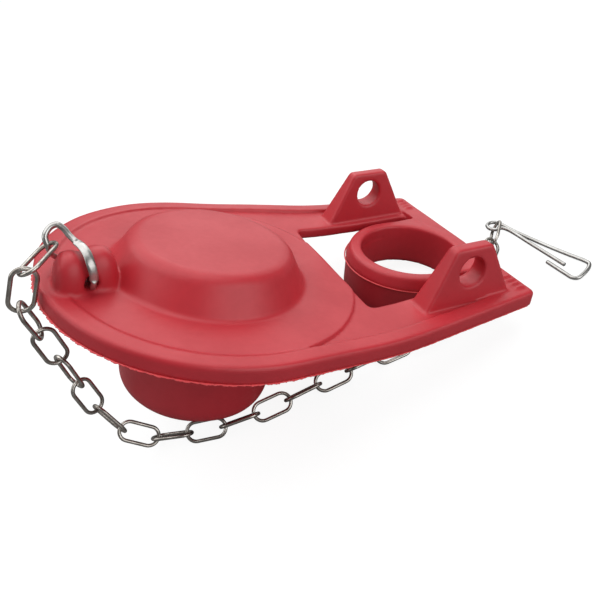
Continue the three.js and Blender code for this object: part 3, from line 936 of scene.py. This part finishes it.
    def surface(self) -> tuple[Array, Array]:
        """The field's net, with each vertex then moved onto the surface down the field's slope.

        Returns:
            The vertices in the flat frame, and the faces as rows of four vertex numbers.
        """
        axes = self.grid_axes()
        grid = np.stack(np.meshgrid(*axes, indexing="ij"), axis=-1)
        points, faces = net(np.stack([self.body(layer) for layer in grid]), axes)
        small, rounds, least_slope, longest_step = 0.02, 4, 0.5, 0.35 * self.pitch
        for _ in range(rounds):
            slope = np.stack([(self.body(points + small * e) - self.body(points - small * e))
                              / (2 * small) for e in np.eye(3)], axis=1)
            steepness = np.maximum((slope ** 2).sum(1), least_slope ** 2)
            move = -(self.body(points) / steepness)[:, None] * slope
            limit = longest_step / np.maximum(np.linalg.norm(move, axis=1), 1e-9)
            points = points + move * np.minimum(limit, 1.0)[:, None]
        return points, faces

    def build(self, wardrobe: Wardrobe) -> None:
        """Makes the moulding, which stands for the CAD's.

        Args:
            wardrobe: The finishes.
        """
        points, faces = self.surface()
        body = mesh_object("rubber_moulding", self.lie.placed(points), faces)
        wardrobe.dress(body, Slot.RUBBER, "flapper_body")


@dataclass
class MouldLines:
    """What the mould leaves on the rubber: a ragged flash round the plate's foot, and a seam.

    Sizes are in mm. The flash's width swings with waves, which calm down over calm_run along X.
    """

    moulding: Moulding
    nose_points: int = 420
    side_points: int = 160
    middle: Pair = (20.0, 0.0)
    mean_width: float = 0.34
    swing: float = 0.30
    calm_run: float = 30.0
    calming: float = 0.7
    lap: float = 0.6
    proud: float = 0.02
    height: float = 0.26
    thinning: float = 0.08
    seam_arc: Pair = (46.0, 314.0)
    seam_points: int = 180
    seam_half: float = 0.2

    def outline(self) -> Array:
        """The plate's sides and nose, from the far rear corner round to the near one.

        An arc of a circle round the nose, with a straight side before and after it.

        Returns:
            Rows of x and y in the flat frame.
        """
        m = self.moulding
        taper = m.side_taper()
        reach = math.pi / 2 + taper
        turn = np.linspace(-reach, reach, self.nose_points)[-2:0:-1]
        nose = np.stack([m.nose_x - m.nose_radius * np.cos(turn), m.nose_radius * np.sin(turn)],
                        axis=1)
        run = np.linspace(0.0, 1.0, self.side_points)[1:, None]
        rear_x = m.tail_x - m.tail_corner
        rear_y = m.tail_half + m.tail_corner * math.tan(taper)
        far = nose[0] + (np.array([rear_x, rear_y]) - nose[0]) * run[::-1]
        near = nose[-1] + (np.array([rear_x, -rear_y]) - nose[-1]) * run
        return np.vstack([far, nose, near])

    def flash(self) -> Object:
        """The thin ragged edge along the plate's foot.

        A flat strip along the outline, with a width that comes and goes with crossed sine waves.

        Returns:
            The strip, with no finish yet.
        """
        line = self.outline()
        count = len(line)
        along = path_tangents(np.c_[line, np.zeros(count)], False)[:, :2]
        out = np.stack([along[:, 1], -along[:, 0]], axis=1)
        out *= np.sign((out * (line - self.middle)).sum(1))[:, None]
        place = np.arange(count) * 0.5
        wave = (np.sin(place * 0.9) + np.sin(place * 2.3 + 1) + np.sin(place * 5.1 + 2)) / 3
        calm = 1.0 - self.calming * np.clip(line[:, 0] / self.calm_run, 0.0, 1.0)
        width = (self.mean_width + self.swing * wave) * calm
        inner, outer = line - self.lap * out, line + width[:, None] * out
        foot = -self.moulding.thickness - self.proud
        top = -self.moulding.thickness + self.height
        section = ((inner, foot), (outer, foot + self.thinning), (outer, top - self.thinning),
                   (inner, top))
        rows = np.stack([np.c_[edge, np.full(count, z)] for edge, z in section], axis=1)
        corner = np.arange(4)
        here, beside = np.arange(count - 1)[:, None] * 4, (corner + 1) % 4
        faces = np.stack([here + corner, here + beside, here + 4 + beside, here + 4 + corner],
                         axis=-1).reshape(-1, 4)
        ends = np.stack([corner[::-1], (count - 1) * 4 + corner])
        return mesh_object("moulding_flash", self.moulding.lie.placed(rows.reshape(-1, 3)),
                           np.vstack([faces, ends]), turn=True)

    def seam(self) -> Object:
        """The fine line round the collar's step, an arc of a circle.

        Returns:
            The line as a thin wire, with no finish yet.
        """
        m = self.moulding
        angle = np.radians(np.linspace(*self.seam_arc, self.seam_points))
        radius = m.collar_step + self.proud
        height = np.full_like(angle, m.rim_height - m.collar_step_drop)
        path = np.stack([m.collar_x + radius * np.cos(angle), radius * np.sin(angle), height],
                        axis=1)
        across = carried(path, False, np.array([0.0, 0.0, 1.0]))
        points, faces = swept(path, across, np.full((len(path), 2), self.seam_half), False, 8)
        return mesh_object("collar_seam", m.lie.placed(points), faces, turn=True)

    def build(self, wardrobe: Wardrobe) -> None:
        """Makes the flash and the seam."""
        # The flash and the seam both wear the lighter red of painted light.
        wardrobe.dress(self.flash(), Slot.THIN_PAINTED_LIGHT)
        wardrobe.dress(self.seam(), Slot.THIN_PAINTED_LIGHT)


# The steel pieces


@dataclass
class LugRing:
    """The bent steel piece in the lug: a wire loop that widens into a flat tongue, in mm."""

    lie: Lie
    wire: float = 0.65
    band: Pair = (1.0, 0.4)
    band_shares: Pair = (0.03, 0.25)
    step_shares: Pair = (0.010, 0.006)
    facing_share: float = 0.16
    pitch: float = 0.22
    sides: int = 20
    squareness: float = 0.85
    way: tuple[Triple, ...] = (
        (-30.0, -10.2, 2.6), (-29.9, -10.5, 5.4), (-30.5, -9.9, 8.0), (-31.1, -8.1, 9.7),
        (-31.9, -6.0, 10.4), (-32.8, -4.0, 10.5), (-33.9, -2.5, 11.2), (-35.0, -1.2, 12.3),
        (-36.2, -0.6, 12.9), (-37.6, -0.7, 12.3), (-38.7, -1.7, 10.6), (-38.1, -2.3, 8.4),
        (-37.6, -1.0, 6.6), (-36.8, 1.2, 4.6), (-35.6, 2.9, 3.1), (-33.0, 3.6, 2.5),
        (-30.7, 2.6, 2.6), (-30.0, 0.0, 2.6), (-30.0, -5.0, 2.6))

    def build(self, wardrobe: Wardrobe) -> None:
        """Sweeps the section along the loop: a round wire that steps to a flat band and back.

        Args:
            wardrobe: The finishes.
        """
        path = curve_through(np.array(self.way), True, self.pitch)
        share = np.arange(len(path)) / len(path)
        low, high = self.band_shares
        rise = smooth_step(np.clip((share - low) / self.step_shares[0], 0, 1)
                           * np.clip((high - share) / self.step_shares[1], 0, 1))
        widths = self.wire + rise[:, None] * (np.array(self.band) - self.wire)
        start = round(self.facing_share * len(path))
        across = carried(path, True, np.array([1.0, 0.0, 0.0]), start)
        points, faces = swept(path, across, widths, True, self.sides, self.squareness)
        ring = mesh_object("lug_ring_wire", self.lie.placed(points), faces, turn=True)
        wardrobe.dress(ring, Slot.BRIGHT, "lug_ring")


@dataclass
class ChainLink:
    """One oval link of drawn wire, laid where its CAD node lies, in mm."""

    node: str
    wire: float = 0.5
    end_radius: float = 2.55
    end_points: int = 22
    side_points: int = 12
    sides: int = 14

    def axes(self) -> tuple[Array, Array, float]:
        """How the CAD node lies.

        The longest spread of the node's points is the link's length, the least is its normal.

        Returns:
            The link's middle, its three axes as rows, and half its length.
        """
        mesh = frame["nodes"][self.node].data
        flat = np.empty(len(mesh.vertices) * 3)
        mesh.vertices.foreach_get("co", flat)
        cloud = flat.reshape(-1, 3) / MM
        mean = cloud.mean(0)
        axes = np.linalg.svd(cloud - mean, full_matrices=False)[2]
        local = (cloud - mean) @ axes.T
        low, high = local.min(0), local.max(0)
        return mean + ((high + low) / 2) @ axes, axes, (high[0] - low[0]) / 2

    def build(self, wardrobe: Wardrobe) -> None:
        """Sweeps a round wire round the oval: two half circles joined by two straight sides.

        Args:
            wardrobe: The finishes.
        """
        middle, axes, half_length = self.axes()
        straight = half_length - self.wire - self.end_radius
        turn = np.linspace(-math.pi / 2, math.pi / 2, self.end_points)
        end = np.stack([straight + self.end_radius * np.cos(turn),
                        self.end_radius * np.sin(turn), 0 * turn], axis=1)
        run = np.linspace(straight, -straight, self.side_points + 2)[1:-1]
        side = np.stack([run, np.full_like(run, self.end_radius), 0 * run], axis=1)
        half_turn = [-1, -1, 1]
        oval = np.vstack([end, side, end * half_turn, side * half_turn])
        path = middle + oval @ axes
        widths = np.full((len(path), 2), self.wire)
        points, faces = swept(path, np.broadcast_to(axes[2], path.shape), widths, True, self.sides)
        oval_link = mesh_object(self.node + "_wire", points * MM, faces, turn=True)
        wardrobe.dress(oval_link, Slot.CHAIN, self.node)


@dataclass
class SnapClip:
    """The wire snap clip: spring arm, eye with its inner curl, long arm, bend and return arm."""

    node: str = "snap_clip"
    wire: float = 0.6
    pitch: float = 0.3
    way: tuple[Triple, ...] = (
        (2.8, -27.8, 1.9), (2.6, -14.0, 2.0), (2.3, -3.0, 2.1), (1.4, -0.9, 2.1),
        (-0.3, -0.4, 2.0), (-1.4, 1.6, 1.9), (-0.7, 3.8, 1.7), (1.4, 4.7, 1.4),
        (3.4, 3.5, 1.1), (4.0, 0.9, 0.9), (4.5, -3.0, 0.7), (6.9, -16.6, 0.6),
        (8.5, -24.0, 0.6), (9.7, -29.0, 0.6), (9.7, -30.6, 0.6), (8.4, -31.9, 0.6),
        (4.8, -33.3, 0.6), (2.3, -33.6, 0.6), (1.3, -32.5, 0.6), (1.2, -30.0, 0.6),
        (1.2, -22.4, 0.6))

    def build(self, wardrobe: Wardrobe) -> None:
        """Sweeps the wire along its way, set so that its box's middle is the CAD node's.

        Args:
            wardrobe: The finishes.
        """
        path = curve_through(np.array(self.way), False, self.pitch)
        low, high = (np.array(corner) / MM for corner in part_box(self.node))
        path = path + (low + high) / 2 - (path.max(0) + path.min(0)) / 2
        across = carried(path, False, np.array([0.0, 0.0, 1.0]))
        points, faces = swept(path, across, np.full((len(path), 2), self.wire), False)
        clip = mesh_object("snap_clip_wire", points * MM, faces, turn=True)
        wardrobe.dress(clip, Slot.BRIGHT, self.node)


# The studio


@dataclass(frozen=True)
class Lamp:
    """A square soft lamp that points at the part's middle, in metres and watts."""

    name: str
    place: Triple
    power: float
    size: float
    target: Triple = (0.0, 0.0, 0.03)

    def build(self) -> None:
        """Adds the lamp to the scene."""
        data = bpy.data.lights.new(self.name, "AREA")
        data.energy, data.size = self.power, self.size
        obj = bpy.data.objects.new(self.name, data)
        obj.location = self.place
        obj.rotation_mode = "QUATERNION"
        aim = Vector(self.target) - Vector(self.place)
        obj.rotation_quaternion = aim.to_track_quat("-Z", "Y")
        bpy.context.scene.collection.objects.link(obj)


LAMPS = (Lamp("top_lamp", (-0.02, 0.26, 0.66), 6.6, 1.1),
         Lamp("back_lamp", (0.58, 0.68, 0.30), 2.2, 0.8),
         Lamp("side_lamp", (-0.60, 0.10, 0.38), 0.8, 0.4),
         Lamp("fill_lamp", (0.36, -0.62, 0.24), 3.7, 0.8))


@dataclass
class Studio:
    """Camera, lamps, world and floor. The eye is in mm, from eye_origin_x along X."""

    eye_origin_x: float
    eye: Triple = (-15.25, -125.88, 124.57)
    azimuth: float = math.radians(-16.115)
    elevation: float = math.radians(39.418)
    roll: float = math.radians(-14.703)
    lens: float = 35.53
    surround_light: float = 0.18
    floor_half: float = 3.0
    floor_drop: float = 0.0001
    floor_lit: float = 0.26
    floor_seen: float = 0.86
    glow: float = 1.12
    glow_share: float = 0.80

    def camera(self) -> None:
        """Sets the camera where the photograph was taken from, in the frame of the CAD."""
        data = bpy.data.cameras.new("camera")
        data.lens, data.sensor_width = self.lens, 36.0
        data.clip_start, data.clip_end = 0.005, 10.0
        a, e, r = self.azimuth, self.elevation, self.roll
        back = Vector((math.sin(a) * math.cos(e), -math.cos(a) * math.cos(e), math.sin(e)))
        right = Vector((math.cos(a), math.sin(a), 0.0))
        up = back.cross(right)
        side = math.cos(r) * right + math.sin(r) * up
        top = -math.sin(r) * right + math.cos(r) * up
        turned = Matrix((side, top, back)).transposed().to_4x4()
        obj = bpy.data.objects.new("camera", data)
        x, y, z = self.eye
        obj.matrix_world = Matrix.Translation(Vector((x + self.eye_origin_x, y, z)) * MM) @ turned
        bpy.context.scene.collection.objects.link(obj)
        bpy.context.scene.camera = obj

    def world(self) -> None:
        """A surround that is pure white to the eye and through glass, and lights the part faintly."""
        world = bpy.data.worlds.new("surround")
        world.use_nodes = True
        bpy.context.scene.world = world
        tree = world.node_tree
        back = tree.nodes["Background"]
        path, either, level = add_nodes(tree, "LightPath", "Math", "MapRange")
        either.operation = "MAXIMUM"
        preset(back, {"Color": (1.0, 1.0, 1.0, 1.0)})
        preset(level, {"To Min": self.surround_light, "To Max": 1.0})
        link(tree, (path, "Is Camera Ray", either, 0), (path, "Is Transmission Ray", either, 1),
             (either, 0, level, "Value"), (level, "Result", back, "Strength"))

    def floor(self) -> None:
        """A wide white floor that is nearly pure white to the eye and keeps a faint shadow."""
        half, z = self.floor_half, -self.floor_drop
        points = np.array([[-half, -half, z], [half, -half, z], [half, half, z], [-half, half, z]])
        floor = mesh_object("floor", points, np.array([[0, 1, 2, 3]]))
        material = bpy.data.materials.new("floor_white")
        material.use_nodes = True
        tree = material.node_tree
        shader, end = tree.nodes["Principled BSDF"], tree.nodes["Material Output"]
        glow, mix, path = add_nodes(tree, "Emission", "MixShader", "LightPath")
        share, tone = add_nodes(tree, "Math", "Mix")
        tone.data_type = "RGBA"
        share.operation = "MULTIPLY"
        preset(shader, {"Roughness": 0.7, "Specular IOR Level": 0.0})
        preset(tone, {"A": (*[self.floor_lit] * 3, 1.0), "B": (*[self.floor_seen] * 3, 1.0)})
        preset(share, {1: self.glow_share})
        preset(glow, {"Strength": self.glow})
        link(tree, (path, "Is Camera Ray", share, 0), (path, "Is Camera Ray", tone, "Factor"),
             (tone, "Result", shader, "Base Color"), (share, 0, mix, "Fac"),
             (shader, "BSDF", mix, 1), (glow, "Emission", mix, 2), (mix, "Shader", end, "Surface"))
        floor.data.materials.append(material)

    def build(self) -> None:
        """Makes the camera, the surround, the floor and the lamps."""
        bpy.context.scene.view_settings.view_transform = "Standard"
        self.camera()
        self.world()
        self.floor()
        for lamp in LAMPS:
            lamp.build()


def main() -> None:
    """Builds the studio and each piece in turn."""
    logging.basicConfig(level=logging.INFO, format="%(message)s")
    lie = Lie.from_record(frame["record"], Moulding.dome_height)
    # The eye's place counts from 0.3 mm behind the flat frame's origin, where the camera was fitted
    Studio(eye_origin_x=float(lie.origin[0]) / MM + 0.3).build()
    wardrobe = Wardrobe()
    moulding = Moulding(lie)
    moulding.build(wardrobe)
    MouldLines(moulding).build(wardrobe)
    LugRing(lie).build(wardrobe)
    for node in sorted(n for n in frame["nodes"] if n.startswith("chain_link_")):
        ChainLink(node).build(wardrobe)
    SnapClip().build(wardrobe)


if __name__ == "__main__":
    main()
